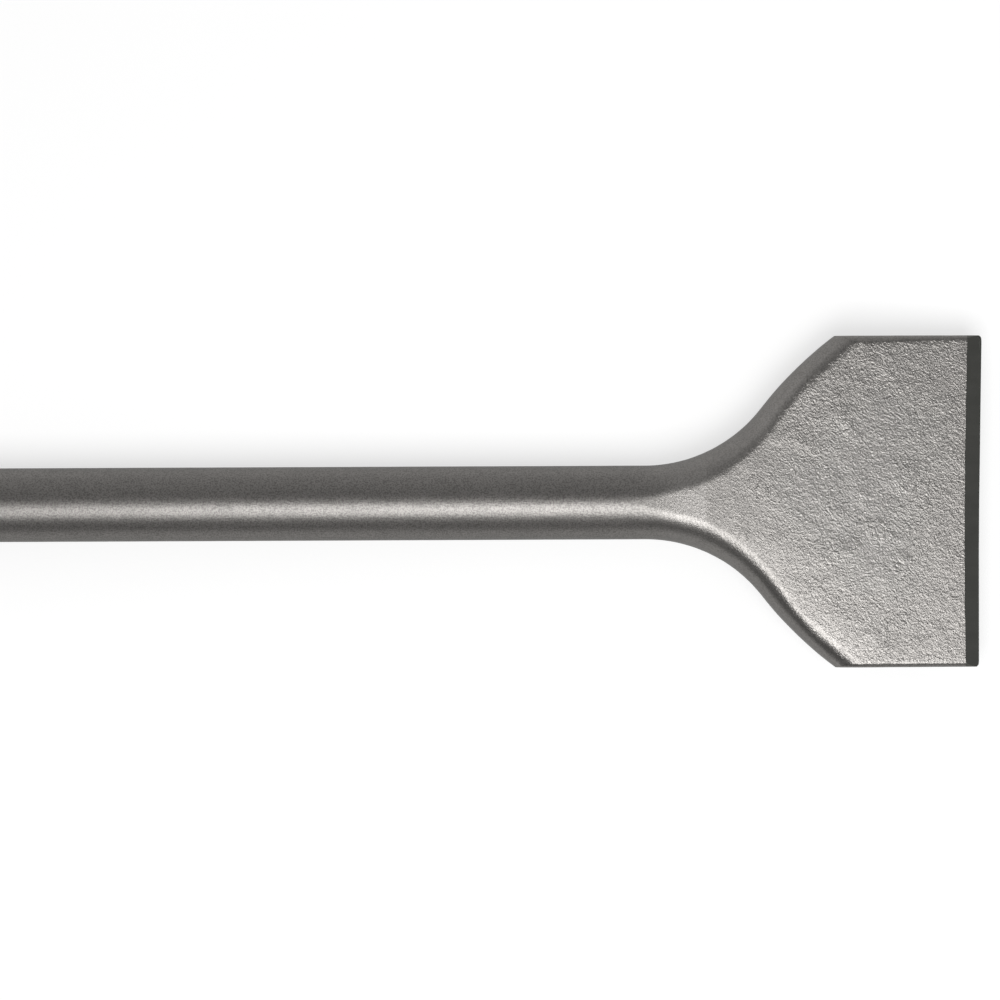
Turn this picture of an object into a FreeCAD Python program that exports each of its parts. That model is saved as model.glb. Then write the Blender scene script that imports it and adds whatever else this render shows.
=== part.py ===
import FreeCAD, Part
import os
import Sketcher

# Flat chisel for a rotary hammer, forged in one piece from a round bar.
# X runs along the shaft: the striking face is at X = 0 and the cutting edge is at the other end.
# The blade lies in the XY plane and the shaft's axis is the X axis.

Vector = FreeCAD.Vector
doc = FreeCAD.newDocument("FlatChisel")

sizes = doc.addObject("Spreadsheet::Sheet", "Sizes")
drivingSizes = (
    ("overall_length", "350", "striking face to cutting edge"),
    ("shank_diameter", "18", "ground end that enters the hammer"),
    ("shank_length", "90", "striking face to the step of the shank"),
    ("end_chamfer", "1.5", "chamfer round the striking face"),
    ("shaft_diameter", "17.8", "forged bar between shank and blade"),
    ("step_length", "1", "cone between shank and shaft"),
    ("drive_length", "72", "open driving groove, from the striking face"),
    ("drive_width", "5", "open driving groove"),
    ("drive_depth", "2.6", "open driving groove"),
    ("drive_spread", "35", "each paired groove to the side opposite the single one, degrees"),
    ("cutter_radius", "14", "run-out of the driving grooves"),
    ("lock_start", "20", "striking face to the closed locking groove"),
    ("lock_length", "40", "closed locking groove, over its round ends"),
    ("lock_width", "5.8", "closed locking groove"),
    ("lock_depth", "3", "closed locking groove"),
    ("blade_width", "80", "over the two parallel sides"),
    ("side_length", "35.2", "shoulder corner to cutting edge"),
    ("neck_radius", "35.6", "hollow arc where the bar begins to spread"),
    ("shoulder_radius", "94.5", "round arc from the neck to the shoulder corner"),
    ("flare_angle", "52", "steepest slope of the outline, degrees"),
    ("face_angle", "24", "slope of the outline where the flat faces begin, degrees"),
    ("crown_angle", "24", "half the arc of the bar that flattens into a face, degrees"),
    ("run_in", "4", "straight bar before the neck arc"),
    ("bevel_length", "3.6", "ground bevel along the shaft's axis"),
    ("bevel_thickness", "4", "blade where the bevel begins"),
    ("tip_thickness", "0.8", "flat left along the cutting edge"),
    ("side_rounding", "1.5", "long edges of the trimmed sides"),
    ("corner_radius", "1.2", "cutting edge corners, seen from above"),
)
for row, (alias, value, meaning) in enumerate(drivingSizes, start=1):
    sizes.set(f"A{row}", meaning)
    sizes.set(f"B{row}", value)
    sizes.setAlias(f"B{row}", alias)
doc.recompute()

# Values that follow from the driving sizes.
form = doc.addObject("App::VarSet", "Form")
derivedValues = (
    ("shankRadius", "Sizes.shank_diameter / 2"),
    ("shaftRadius", "Sizes.shaft_diameter / 2"),
    ("halfWidth", "Sizes.blade_width / 2"),
    ("neckRise", "Sizes.neck_radius * (1 - cos(Sizes.flare_angle))"),
    ("shoulderAngle", "acos(cos(Sizes.flare_angle)"
                      " + (Form.halfWidth - Form.shaftRadius - Form.neckRise) / Sizes.shoulder_radius)"),
    ("shoulderPlace", "Sizes.overall_length - Sizes.side_length"),
    ("turnPlace", "Form.shoulderPlace"
                  " - Sizes.shoulder_radius * (sin(Sizes.flare_angle) - sin(Form.shoulderAngle))"),
    ("flareStart", "Form.turnPlace - Sizes.neck_radius * sin(Sizes.flare_angle)"),
    ("loftStart", "Form.flareStart - Sizes.run_in"),
    ("faceStart", "Form.flareStart + Sizes.neck_radius * sin(Sizes.face_angle)"),
    ("bevelStart", "Sizes.overall_length - Sizes.bevel_length"),
    ("faceSlope", "(Form.shaftRadius - Sizes.bevel_thickness / 2) / (Form.bevelStart - Form.faceStart)"),
    ("shoulderThickness", "Form.shaftRadius - (Form.shoulderPlace - Form.faceStart) * Form.faceSlope"),
    ("plateAhead", "1.25 * Form.shoulderThickness / (tan(Form.shoulderAngle) + Form.faceSlope)"),
    ("plateStart", "Form.shoulderPlace + Form.plateAhead"),
    ("plateThickness", "Form.shoulderThickness - Form.plateAhead * Form.faceSlope"),
    ("edgeThickness", "Sizes.bevel_thickness / 2 - Sizes.bevel_length * Form.faceSlope"),
)
for name, expression in derivedValues:
    form.addProperty("App::PropertyFloat", name, "Form")
    form.setExpression(name, expression)
    doc.recompute()

body = doc.addObject("PartDesign::Body", "FlatChiselBody")
body.Label = "flat_chisel"


def originFeature(role):
    return next(feature for feature in body.Origin.OriginFeatures if feature.Role == role)


def newSketch(name, role):
    sketch = body.newObject("Sketcher::SketchObject", name)
    sketch.AttachmentSupport = (originFeature(role), [""])
    sketch.MapMode = "FlatFace"
    return sketch


def valueOf(expression, owner=form):
    """The number that an expression gives now, to draw a sketch close to its final form."""
    result = owner.evalExpression(expression)
    return float(getattr(result, "Value", result))


def fixPoint(sketch, geometry, end, name, x, y):
    """Ties one end of a line or arc to two expressions, or to an axis where the value is 0."""
    for axis, kind, expression in ((-2, "DistanceX", x), (-1, "DistanceY", y)):
        if expression == "0":
            sketch.addConstraint(Sketcher.Constraint("PointOnObject", geometry, end, axis))
            continue
        constraint = sketch.addConstraint(
            Sketcher.Constraint(kind, -1, 1, geometry, end, valueOf(expression, sketch))
        )
        label = f"{name}_{kind[-1].lower()}"
        sketch.renameConstraint(constraint, label)
        sketch.setExpression(f"Constraints.{label}", expression)


def drawPolygon(sketch, corners):
    """A closed outline of straight lines through (name, x, y) corners."""
    points = [Vector(valueOf(x), valueOf(y), 0) for _, x, y in corners]
    lines = [
        sketch.addGeometry(Part.LineSegment(start, end), False)
        for start, end in zip(points, points[1:] + points[:1])
    ]
    for line, following in zip(lines, lines[1:] + lines[:1]):
        sketch.addConstraint(Sketcher.Constraint("Coincident", line, 2, following, 1))
    for line, (name, x, y) in zip(lines, corners):
        fixPoint(sketch, line, 1, name, x, y)


def checkCut(feature, before):
    """A cut that removed nothing points the wrong way."""
    doc.recompute()
    if feature.Shape.Volume > before.Shape.Volume - 0.01:
        raise RuntimeError(f"{feature.Label} removed nothing")


# Shank and shaft, turned about the X axis. The profile stands in the plane of one driving groove.
turnedProfile = newSketch("TurnedProfile", "XY_Plane")
turnedProfile.AttachmentOffset = FreeCAD.Placement(Vector(), FreeCAD.Rotation(Vector(1, 0, 0), 0))
turnedProfile.setExpression("AttachmentOffset.Rotation.Angle", "180 + Sizes.drive_spread")
drawPolygon(turnedProfile, (
    ("face_centre", "0", "0"),
    ("face_rim", "0", "Form.shankRadius - Sizes.end_chamfer"),
    ("chamfer_end", "Sizes.end_chamfer", "Form.shankRadius"),
    ("shank_end", "Sizes.shank_length", "Form.shankRadius"),
    ("shaft_begin", "Sizes.shank_length + Sizes.step_length", "Form.shaftRadius"),
    ("shaft_end", "Form.loftStart", "Form.shaftRadius"),
    ("shaft_centre", "Form.loftStart", "0"),
))
turned = body.newObject("PartDesign::Revolution", "ShankAndShaft")
turned.Profile = turnedProfile
turned.ReferenceAxis = (turnedProfile, ["H_Axis"])
turned.Angle = 360
doc.recompute()

# The forging spreads the bar into the blade through sections with round ends.
# Each section is as wide as the outline and as thick as the two flat faces leave it there.
def newSection(number, place, halfWidth, crown="0"):
    """One section: crown is half the arc, in degrees, that is left on top, and 0 is a flat face."""
    sketch = newSketch(f"Section{number:02d}", "YZ_Plane")
    for name, expression in (
        ("Place", place),
        ("HalfWidth", halfWidth),
        ("Crown", crown),
        ("HalfThickness", "Form.shaftRadius - max(0; Place - Form.faceStart) * Form.faceSlope"),
        ("EndCentre", "(HalfWidth - HalfThickness) / (1 - tan(Crown / 2))"),
        ("EndRadius", "HalfWidth - EndCentre"),
        ("JointAcross", "EndCentre + EndRadius * sin(Crown)"),
        ("JointUp", "EndRadius * cos(Crown)"),
    ):
        sketch.addProperty("App::PropertyFloat", name, "Section")
        sketch.setExpression(name, expression)
        doc.recompute()
    sketch.setExpression("AttachmentOffset.Base.z", "Place")
    across, up = sketch.JointAcross, sketch.JointUp
    joints = [Vector(across, up, 0), Vector(-across, up, 0), Vector(-across, -up, 0), Vector(across, -up, 0)]
    side, top = Vector(sketch.HalfWidth, 0, 0), Vector(0, sketch.HalfThickness, 0)
    flat = crown == "0"
    right = sketch.addGeometry(Part.Arc(joints[3], side, joints[0]), False)
    upper = sketch.addGeometry(
        Part.LineSegment(joints[0], joints[1]) if flat else Part.Arc(joints[0], top, joints[1]), False
    )
    left = sketch.addGeometry(Part.Arc(joints[1], side * -1, joints[2]), False)
    lower = sketch.addGeometry(
        Part.LineSegment(joints[2], joints[3]) if flat else Part.Arc(joints[2], top * -1, joints[3]), False
    )
    sketch.addConstraint([
        Sketcher.Constraint("Coincident", upper, 2, left, 1),
        Sketcher.Constraint("Coincident", left, 2, lower, 1),
        Sketcher.Constraint("Coincident", lower, 2, right, 1),
        Sketcher.Constraint("Symmetric", upper, 1, upper, 2, -2),
        Sketcher.Constraint("Symmetric", upper, 1, lower, 2, -1),
        Sketcher.Constraint("Symmetric", upper, 2, lower, 1, -1),
    ])
    fixPoint(sketch, upper, 1, "joint", "JointAcross", "JointUp")
    if flat:
        sketch.addConstraint(Sketcher.Constraint("Coincident", right, 2, upper, 1))
        sketch.addConstraint(Sketcher.Constraint("Vertical", right, 3, upper, 1))
        sketch.addConstraint(Sketcher.Constraint("Vertical", left, 3, upper, 2))
    else:
        sketch.addConstraint(Sketcher.Constraint("Tangent", right, 2, upper, 1))
        sketch.addConstraint(Sketcher.Constraint("Equal", right, left))
        sketch.addConstraint(Sketcher.Constraint("Equal", upper, lower))
        radius = sketch.addConstraint(Sketcher.Constraint("Radius", right, sketch.EndRadius))
        sketch.renameConstraint(radius, "end_radius")
        sketch.setExpression("Constraints.end_radius", "EndRadius")
    return sketch


def neckSection(number, angle, crown="0"):
    """A section where the hollow arc of the outline has this slope."""
    return newSection(
        number,
        f"Form.flareStart + Sizes.neck_radius * sin({angle})",
        f"Form.shaftRadius + Sizes.neck_radius * (1 - cos({angle}))",
        crown,
    )


def shoulderSection(number, angle):
    """A section where the round arc of the outline has this slope."""
    return newSection(
        number,
        f"Form.turnPlace + Sizes.shoulder_radius * (sin(Sizes.flare_angle) - sin({angle}))",
        f"Form.shaftRadius + Form.neckRise"
        f" + Sizes.shoulder_radius * (cos({angle}) - cos(Sizes.flare_angle))",
    )


def tailSection(number, share):
    """A section past the shoulder corner, wider than the blade, for the trimming to cut."""
    ahead = f"{share} * Form.plateAhead"
    return newSection(
        number, f"Form.shoulderPlace + {ahead}", f"Form.halfWidth + {ahead} * tan(Form.shoulderAngle)"
    )


sections = [
    newSection(1, "Form.loftStart", "Form.shaftRadius", "Sizes.crown_angle"),
    newSection(2, "Form.loftStart + Sizes.run_in / 2", "Form.shaftRadius", "Sizes.crown_angle"),
    neckSection(3, "0 deg", "Sizes.crown_angle"),
]
for step in range(1, 4):
    sections.append(
        neckSection(len(sections) + 1, f"Sizes.face_angle * {step} / 4", f"Sizes.crown_angle * {4 - step} / 4")
    )
for step in range(5):
    share = f"(Sizes.flare_angle - Sizes.face_angle) * {step} / 4"
    sections.append(neckSection(len(sections) + 1, f"Sizes.face_angle + {share}"))
for step in range(1, 4):
    share = f"(Sizes.flare_angle - Form.shoulderAngle) * {step} / 3"
    sections.append(shoulderSection(len(sections) + 1, f"Sizes.flare_angle - {share}"))
for step in range(1, 3):
    sections.append(tailSection(len(sections) + 1, f"{step} / 2"))
doc.recompute()

forging = body.newObject("PartDesign::AdditiveLoft", "Forging")
forging.Profile = sections[0]
forging.Sections = sections[1:]
forging.Ruled = False
doc.recompute()

# Past the shoulders the blade is a plate between the two sloping faces.
plateProfile = newSketch("PlateProfile", "XZ_Plane")
drawPolygon(plateProfile, (
    ("upper_back", "Form.plateStart", "Form.plateThickness"),
    ("lower_back", "Form.plateStart", "-Form.plateThickness"),
    ("lower_front", "Sizes.overall_length", "-Form.edgeThickness"),
    ("upper_front", "Sizes.overall_length", "Form.edgeThickness"),
))
plate = body.newObject("PartDesign::Pad", "BladePlate")
plate.Profile = plateProfile
plate.Type = "Length"
plate.SideType = "Symmetric"
plate.setExpression("Length", "Sizes.blade_width")
doc.recompute()

# The forging's flash is trimmed off along two parallel sides, which leaves the shoulder corners.
trimPlan = newSketch("TrimPlan", "XY_Plane")
past = "Sizes.overall_length + Sizes.bevel_length"
for side, sign in (("left", ""), ("right", "-")):
    drawPolygon(trimPlan, (
        (f"{side}_inner", "Form.faceStart", f"{sign}Form.halfWidth"),
        (f"{side}_front", past, f"{sign}Form.halfWidth"),
        (f"{side}_outer", past, f"{sign}Sizes.blade_width"),
        (f"{side}_back", "Form.faceStart", f"{sign}Sizes.blade_width"),
    ))
trimmed = body.newObject("PartDesign::Pocket", "TrimmedSides")
trimmed.Profile = trimPlan
trimmed.Type = "ThroughAll"
trimmed.SideType = "Symmetric"
checkCut(trimmed, plate)


def trimmedEdges():
    """Names of the long edges of the two trimmed sides, without their ends at the cutting edge."""
    names = []
    for index, edge in enumerate(trimmed.Shape.Edges, start=1):
        points = edge.discretize(7)
        onSide = all(abs(abs(point.y) - form.halfWidth) < 0.001 for point in points)
        atTip = all(point.x > sizes.overall_length - 0.001 for point in points)
        if onSide and not atTip:
            names.append(f"Edge{index}")
    return names


rounded = body.newObject("PartDesign::Fillet", "RoundedSides")
rounded.Base = (trimmed, trimmedEdges())
rounded.setExpression("Radius", "Sizes.side_rounding")
doc.recompute()

# Both faces are ground to the cutting edge, which keeps a narrow flat.
bevelProfile = newSketch("BevelProfile", "XZ_Plane")
for side, sign in (("upper", ""), ("lower", "-")):
    drawPolygon(bevelProfile, (
        (f"{side}_border", "Form.bevelStart", f"{sign}Sizes.bevel_thickness / 2"),
        (f"{side}_tip", "Sizes.overall_length", f"{sign}Sizes.tip_thickness / 2"),
        (f"{side}_past", past, f"{sign}Sizes.tip_thickness / 2"),
        (f"{side}_outer", past, f"{sign}Form.shaftRadius"),
        (f"{side}_back", "Form.bevelStart", f"{sign}Form.shaftRadius"),
    ))
bevelled = body.newObject("PartDesign::Pocket", "GroundBevels")
bevelled.Profile = bevelProfile
bevelled.Type = "ThroughAll"
bevelled.SideType = "Symmetric"
checkCut(bevelled, rounded)

# The two ends of the cutting edge are rounded, seen from above.
cornerPlan = newSketch("CornerPlan", "XY_Plane")
inset = "Sizes.overall_length - Sizes.corner_radius"
for side, sign in (("left", ""), ("right", "-")):
    inner = f"{sign}(Form.halfWidth - Sizes.corner_radius)"
    outer = f"{sign}(Form.halfWidth + Sizes.corner_radius)"
    centre = Vector(valueOf(inset), valueOf(inner), 0)
    atSide = Vector(centre.x, valueOf(f"{sign}Form.halfWidth"), 0)
    atTip = Vector(sizes.overall_length, centre.y, 0)
    middle = centre + (atSide + atTip - centre * 2).normalize() * sizes.corner_radius
    corners = [atTip, Vector(valueOf(past), centre.y, 0), Vector(valueOf(past), valueOf(outer), 0),
               Vector(centre.x, valueOf(outer), 0), atSide]
    arc = cornerPlan.addGeometry(Part.Arc(atSide, middle, atTip), False)
    lines = [
        cornerPlan.addGeometry(Part.LineSegment(start, end), False) for start, end in zip(corners, corners[1:])
    ]
    # An arc always runs anticlockwise, so its ends change places on the mirrored side.
    sideEnd, tipEnd = (2, 1) if sign == "" else (1, 2)
    cornerPlan.addConstraint([
        Sketcher.Constraint("Coincident", arc, tipEnd, lines[0], 1),
        Sketcher.Constraint("Coincident", lines[0], 2, lines[1], 1),
        Sketcher.Constraint("Coincident", lines[1], 2, lines[2], 1),
        Sketcher.Constraint("Coincident", lines[2], 2, lines[3], 1),
        Sketcher.Constraint("Coincident", lines[3], 2, arc, sideEnd),
        Sketcher.Constraint("Vertical", lines[3]),
        Sketcher.Constraint("Vertical", arc, 3, arc, sideEnd),
        Sketcher.Constraint("Horizontal", lines[0]),
        Sketcher.Constraint("Horizontal", arc, 3, arc, tipEnd),
    ])
    fixPoint(cornerPlan, arc, 3, f"{side}_centre", inset, inner)
    fixPoint(cornerPlan, lines[1], 2, f"{side}_outer", past, outer)
    radius = cornerPlan.addConstraint(Sketcher.Constraint("Radius", arc, sizes.corner_radius))
    cornerPlan.renameConstraint(radius, f"{side}_radius")
    cornerPlan.setExpression(f"Constraints.{side}_radius", "Sizes.corner_radius")
cornered = body.newObject("PartDesign::Pocket", "RoundedCorners")
cornered.Profile = cornerPlan
cornered.Type = "ThroughAll"
cornered.SideType = "Symmetric"
checkCut(cornered, bevelled)


# Open grooves carry the turning load. Each runs in from the striking face and ends on the cutter's arc.
def drivingGroove(name, angle, before):
    """A groove milled from the striking face, at this angle about the X axis from the Y axis."""
    profile = newSketch(f"{name}Profile", "XY_Plane")
    profile.AttachmentOffset = FreeCAD.Placement(Vector(), FreeCAD.Rotation(Vector(1, 0, 0), 1))
    profile.setExpression("AttachmentOffset.Rotation.Angle", angle)
    floor = "Form.shankRadius - Sizes.drive_depth"
    above = "Form.shankRadius + Sizes.end_chamfer"
    outside = "-Sizes.end_chamfer"
    low, top, high = (valueOf(rule) for rule in (floor, "Form.shankRadius", above))
    radius, depth = sizes.cutter_radius, sizes.drive_depth
    runOut = (radius ** 2 - (radius - depth) ** 2) ** 0.5
    turn = Vector(sizes.drive_length - runOut, low, 0)
    exit = Vector(sizes.drive_length, top, 0)
    centre = turn + Vector(0, radius, 0)
    middle = centre + ((turn + exit) * 0.5 - centre).normalize() * radius
    start = Vector(valueOf(outside), low, 0)
    bottom = profile.addGeometry(Part.LineSegment(start, turn), False)
    arc = profile.addGeometry(Part.Arc(turn, middle, exit), False)
    rise = profile.addGeometry(Part.LineSegment(exit, Vector(exit.x, high, 0)), False)
    over = profile.addGeometry(Part.LineSegment(Vector(exit.x, high, 0), Vector(start.x, high, 0)), False)
    front = profile.addGeometry(Part.LineSegment(Vector(start.x, high, 0), start), False)
    profile.addConstraint([
        Sketcher.Constraint("Tangent", bottom, 2, arc, 1),
        Sketcher.Constraint("Coincident", arc, 2, rise, 1),
        Sketcher.Constraint("Coincident", rise, 2, over, 1),
        Sketcher.Constraint("Coincident", over, 2, front, 1),
        Sketcher.Constraint("Coincident", front, 2, bottom, 1),
        Sketcher.Constraint("Horizontal", bottom),
        Sketcher.Constraint("Vertical", rise),
        Sketcher.Constraint("Vertical", front),
    ])
    fixPoint(profile, bottom, 1, "start", outside, floor)
    fixPoint(profile, rise, 1, "exit", "Sizes.drive_length", "Form.shankRadius")
    height = profile.addConstraint(Sketcher.Constraint("DistanceY", -1, 1, over, 2, high))
    profile.renameConstraint(height, "above")
    profile.setExpression("Constraints.above", above)
    level = profile.addConstraint(Sketcher.Constraint("Horizontal", over))
    cutter = profile.addConstraint(Sketcher.Constraint("Radius", arc, radius))
    profile.renameConstraint(cutter, "cutter")
    profile.setExpression("Constraints.cutter", "Sizes.cutter_radius")
    groove = body.newObject("PartDesign::Pocket", name)
    groove.Profile = profile
    groove.Type = "Length"
    groove.SideType = "Symmetric"
    groove.setExpression("Length", "Sizes.drive_width")
    checkCut(groove, before)
    return groove


singleGroove = drivingGroove("SingleDrivingGroove", "0 deg", cornered)
pairedGroove = drivingGroove("PairedDrivingGroove", "180 deg - Sizes.drive_spread * 1 deg", singleGroove)

# Closed grooves hold the chisel in the hammer. They lie opposite each other, above and below.
lockPlan = newSketch("LockPlan", "XY_Plane")
lockPlan.setExpression("AttachmentOffset.Base.z", "Form.shankRadius - Sizes.lock_depth")
halfLock = "Sizes.lock_width / 2"
firstCentre = "Sizes.lock_start + Sizes.lock_width / 2"
lastCentre = "Sizes.lock_start + Sizes.lock_length - Sizes.lock_width / 2"
near, far, wide = (valueOf(rule) for rule in (firstCentre, lastCentre, halfLock))
frontEnd = lockPlan.addGeometry(
    Part.Arc(Vector(near, wide, 0), Vector(near - wide, 0, 0), Vector(near, -wide, 0)), False
)
rightWall = lockPlan.addGeometry(Part.LineSegment(Vector(near, -wide, 0), Vector(far, -wide, 0)), False)
backEnd = lockPlan.addGeometry(
    Part.Arc(Vector(far, -wide, 0), Vector(far + wide, 0, 0), Vector(far, wide, 0)), False
)
leftWall = lockPlan.addGeometry(Part.LineSegment(Vector(far, wide, 0), Vector(near, wide, 0)), False)
lockPlan.addConstraint([
    Sketcher.Constraint("Tangent", frontEnd, 2, rightWall, 1),
    Sketcher.Constraint("Tangent", rightWall, 2, backEnd, 1),
    Sketcher.Constraint("Tangent", backEnd, 2, leftWall, 1),
    Sketcher.Constraint("Tangent", leftWall, 2, frontEnd, 1),
    Sketcher.Constraint("Equal", frontEnd, backEnd),
])
fixPoint(lockPlan, frontEnd, 3, "first", firstCentre, "0")
fixPoint(lockPlan, backEnd, 3, "last", lastCentre, "0")
lockRadius = lockPlan.addConstraint(Sketcher.Constraint("Radius", frontEnd, wide))
lockPlan.renameConstraint(lockRadius, "half_width")
lockPlan.setExpression("Constraints.half_width", halfLock)
lockGroove = body.newObject("PartDesign::Pocket", "LockingGroove")
lockGroove.Profile = lockPlan
lockGroove.Type = "Length"
lockGroove.Reversed = True
lockGroove.setExpression("Length", "Sizes.lock_depth * 2")
checkCut(lockGroove, pairedGroove)

mirroredGrooves = body.newObject("PartDesign::Mirrored", "MirroredGrooves")
mirroredGrooves.Originals = [pairedGroove, lockGroove]
mirroredGrooves.MirrorPlane = (originFeature("XY_Plane"), [""])
body.Tip = mirroredGrooves
checkCut(mirroredGrooves, lockGroove)

for item in doc.Objects:
    if "Invalid" in item.State or "Error" in item.State:
        raise RuntimeError(f"{item.Name} failed")
if body.Shape.isNull() or not body.Shape.isValid() or len(body.Shape.Solids) != 1:
    raise RuntimeError("the chisel is not one whole solid")

os.makedirs("parts", exist_ok=True)
body.Shape.exportStep(f"parts/{body.Label}.step")
print(f"{body.Label}: {body.Shape.Volume:.0f} cubic millimetres")
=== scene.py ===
import bpy
import bmesh
import math
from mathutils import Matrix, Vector, noise


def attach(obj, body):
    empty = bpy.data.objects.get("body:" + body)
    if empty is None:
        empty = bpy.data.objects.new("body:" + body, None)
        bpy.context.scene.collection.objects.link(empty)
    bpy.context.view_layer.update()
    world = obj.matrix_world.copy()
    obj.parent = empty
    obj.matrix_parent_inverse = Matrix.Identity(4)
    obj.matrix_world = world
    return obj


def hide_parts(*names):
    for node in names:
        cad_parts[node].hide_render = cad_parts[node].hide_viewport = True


# Flat chisel: a forged and ground steel tool, seen from straight above as it lies on a pale floor.
# X runs from the striking face to the cutting edge. The back is +Y, at the top of the picture.
# Shapes are worked out in millimetres and become metres when a mesh is made.

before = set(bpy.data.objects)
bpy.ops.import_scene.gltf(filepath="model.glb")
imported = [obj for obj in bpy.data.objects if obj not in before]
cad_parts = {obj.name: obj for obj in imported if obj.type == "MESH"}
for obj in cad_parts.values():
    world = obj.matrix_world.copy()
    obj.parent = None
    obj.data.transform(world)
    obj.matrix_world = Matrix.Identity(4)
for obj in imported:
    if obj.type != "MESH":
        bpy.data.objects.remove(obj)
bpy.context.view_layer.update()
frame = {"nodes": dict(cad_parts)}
print("frame loaded:", ", ".join(frame["nodes"]))

toMetres, toMillimetres = 0.001, 1000.0
tiny = 1e-7  # lengths under this count as none, in millimetres


# One output of a shader node. Sums and products of wires add Math nodes.
class Wire:
    def __init__(self, finish, socket):
        self.finish = finish
        self.socket = socket

    def __add__(self, other):
        return self.finish.math("ADD", self, other)

    def __radd__(self, other):
        return self.finish.math("ADD", other, self)

    def __sub__(self, other):
        return self.finish.math("SUBTRACT", self, other)

    def __rsub__(self, other):
        return self.finish.math("SUBTRACT", other, self)

    def __mul__(self, other):
        return self.finish.math("MULTIPLY", self, other)

    def __rmul__(self, other):
        return self.finish.math("MULTIPLY", other, self)


# A material in the making, or the room, whose places are directions.
class Finish:
    def __init__(self, name, room=False):
        self.material = (bpy.data.worlds if room else bpy.data.materials).new(name)
        self.material.use_nodes = True
        self.tree = self.material.node_tree
        self.tree.nodes.clear()
        self.place = self.node("ShaderNodeTexCoord", out="Generated" if room else "Object")

    # settings go first, because some of them decide which sockets there are
    def node(self, kind, settings=None, sockets=None, out=0):
        made = self.tree.nodes.new(kind)
        for name, value in (settings or {}).items():
            setattr(made, name, value)
        for name, value in (sockets or {}).items():
            if isinstance(value, Wire):
                self.tree.links.new(value.socket, made.inputs[name])
            else:
                made.inputs[name].default_value = value
        return None if out is None else Wire(self, made.outputs[out])

    def math(self, operation, first, second=0.0):
        return self.node("ShaderNodeMath", {"operation": operation}, {0: first, 1: second})

    # 0 at the lower value, 1 at the upper one, smooth between
    def step(self, value, lower, upper):
        return self.node(
            "ShaderNodeMapRange", {"interpolation_type": "SMOOTHSTEP"},
            {"Value": value, "From Min": lower, "From Max": upper, "To Min": 0.0, "To Max": 1.0},
        )

    def blend(self, factor, first, second):
        return self.node(
            "ShaderNodeMix", {"data_type": "RGBA"},
            {0: factor, 6: withAlpha(first), 7: withAlpha(second)}, out=2,
        )

    # the surface's own place in millimetres, turned about Z, then drawn out along the turned axes
    def grain(self, turn=0.0, stretch=(1.0, 1.0, 1.0)):
        return self.node(
            "ShaderNodeMapping", {"vector_type": "TEXTURE"},
            {"Vector": self.place, "Rotation": (0.0, 0.0, math.radians(turn)),
             "Scale": tuple(toMetres * share for share in stretch)},
        )

    # noise round 0.5, about one lump to a wavelength in millimetres
    def lumps(self, wavelength, where, detail=2.0, rough=0.5, twist=0.0):
        return self.node(
            "ShaderNodeTexNoise", {"noise_dimensions": "3D"},
            {"Vector": where, "Scale": 1.0 / wavelength, "Detail": detail, "Roughness": rough,
             "Distortion": twist},
        )

    # bare metal, duller than a polished one where it is seen aslant; the height is in metres
    def metal(self, colour, roughness, height):
        normal = self.node("ShaderNodeBump", None, {"Height": height, "Strength": 1.0, "Distance": 1.0})
        shader = self.node(
            "ShaderNodeBsdfPrincipled", None,
            {"Base Color": withAlpha(colour), "Roughness": roughness, "Metallic": 1.0, "Normal": normal,
             "Specular Tint": (0.7, 0.7, 0.7, 1.0)},
        )
        return self.close(shader)

    def close(self, shader):
        self.node("ShaderNodeOutputMaterial", None, {"Surface": shader}, out=None)
        return self.material


def withAlpha(colour):
    return colour if isinstance(colour, Wire) or len(colour) == 4 else (*colour, 1.0)


# The chisel's form, in millimetres and degrees. A pair of places along X says where a change begins
# and where it is complete.
chisel = {
    "length": 350.0,
    "shankRadius": 9.0,
    "shankLength": 90.0,
    "endChamfer": 1.5,
    "shaftRadius": 8.9,
    "stepLength": 1.0,
    "flareStart": 268.983,
    "neckRadius": 35.6,
    "shoulderRadius": 94.5,
    "flareAngle": 52.0,
    "halfWidth": 40.0,
    "faceStart": 283.463,
    "faceSoftness": 0.45,  # how gently the faces begin
    "bevelStart": 346.4,
    "bevelHalf": 2.0,  # half the thickness where the bevel begins
    "tipHalf": 0.4,
    "cornerRadius": 0.85,
    "narrowing": (0.18, 0.20),  # how much less wide than high the flanks are rounded, back and front
    "narrowStart": (264.0, 278.0),
    "narrowEnd": (306.0, 314.0),
    "frontRounding": 1.3,  # radius of the trimmed side's long edges at the front
    "backRounding": (2.0, 1.2),  # the same at the back, where it changes between the next two places
    "backPlaces": (322.0, 344.0),
    "roundingLimit": 0.75,  # most that such a radius takes of the side's half height
    "groundFrom": 338.0,  # from here on the hand grinding shifts the mesh
    "waver": 0.07,  # unevenness of the bevel's border
    "waverLength": 7.0,
    "sideBand": 0.02,  # nearer than this to the half width is the trimmed side
    "bevelShare": 0.6,  # above this share of the half thickness is the bevel, below it the side
    "crease": 27.0,  # edges that turn further are drawn crisp
    "finishCrease": 7.0,  # the same between two finishes
    "quarterSteps": 48,  # mesh faces round a quarter of a section
    "flankSteps": 30,  # steps in which a round flank is worked out
    "filletSteps": 10,  # the same for a rounded long edge
    "walkStep": 0.05,  # steps in which the end of that rounding is looked for
    "leastGap": 0.001,  # from that end to the next point
    "faceLength": 0.9,  # a mesh face spans about this length, or this turn
    "faceTurn": 3.6,
}

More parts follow.
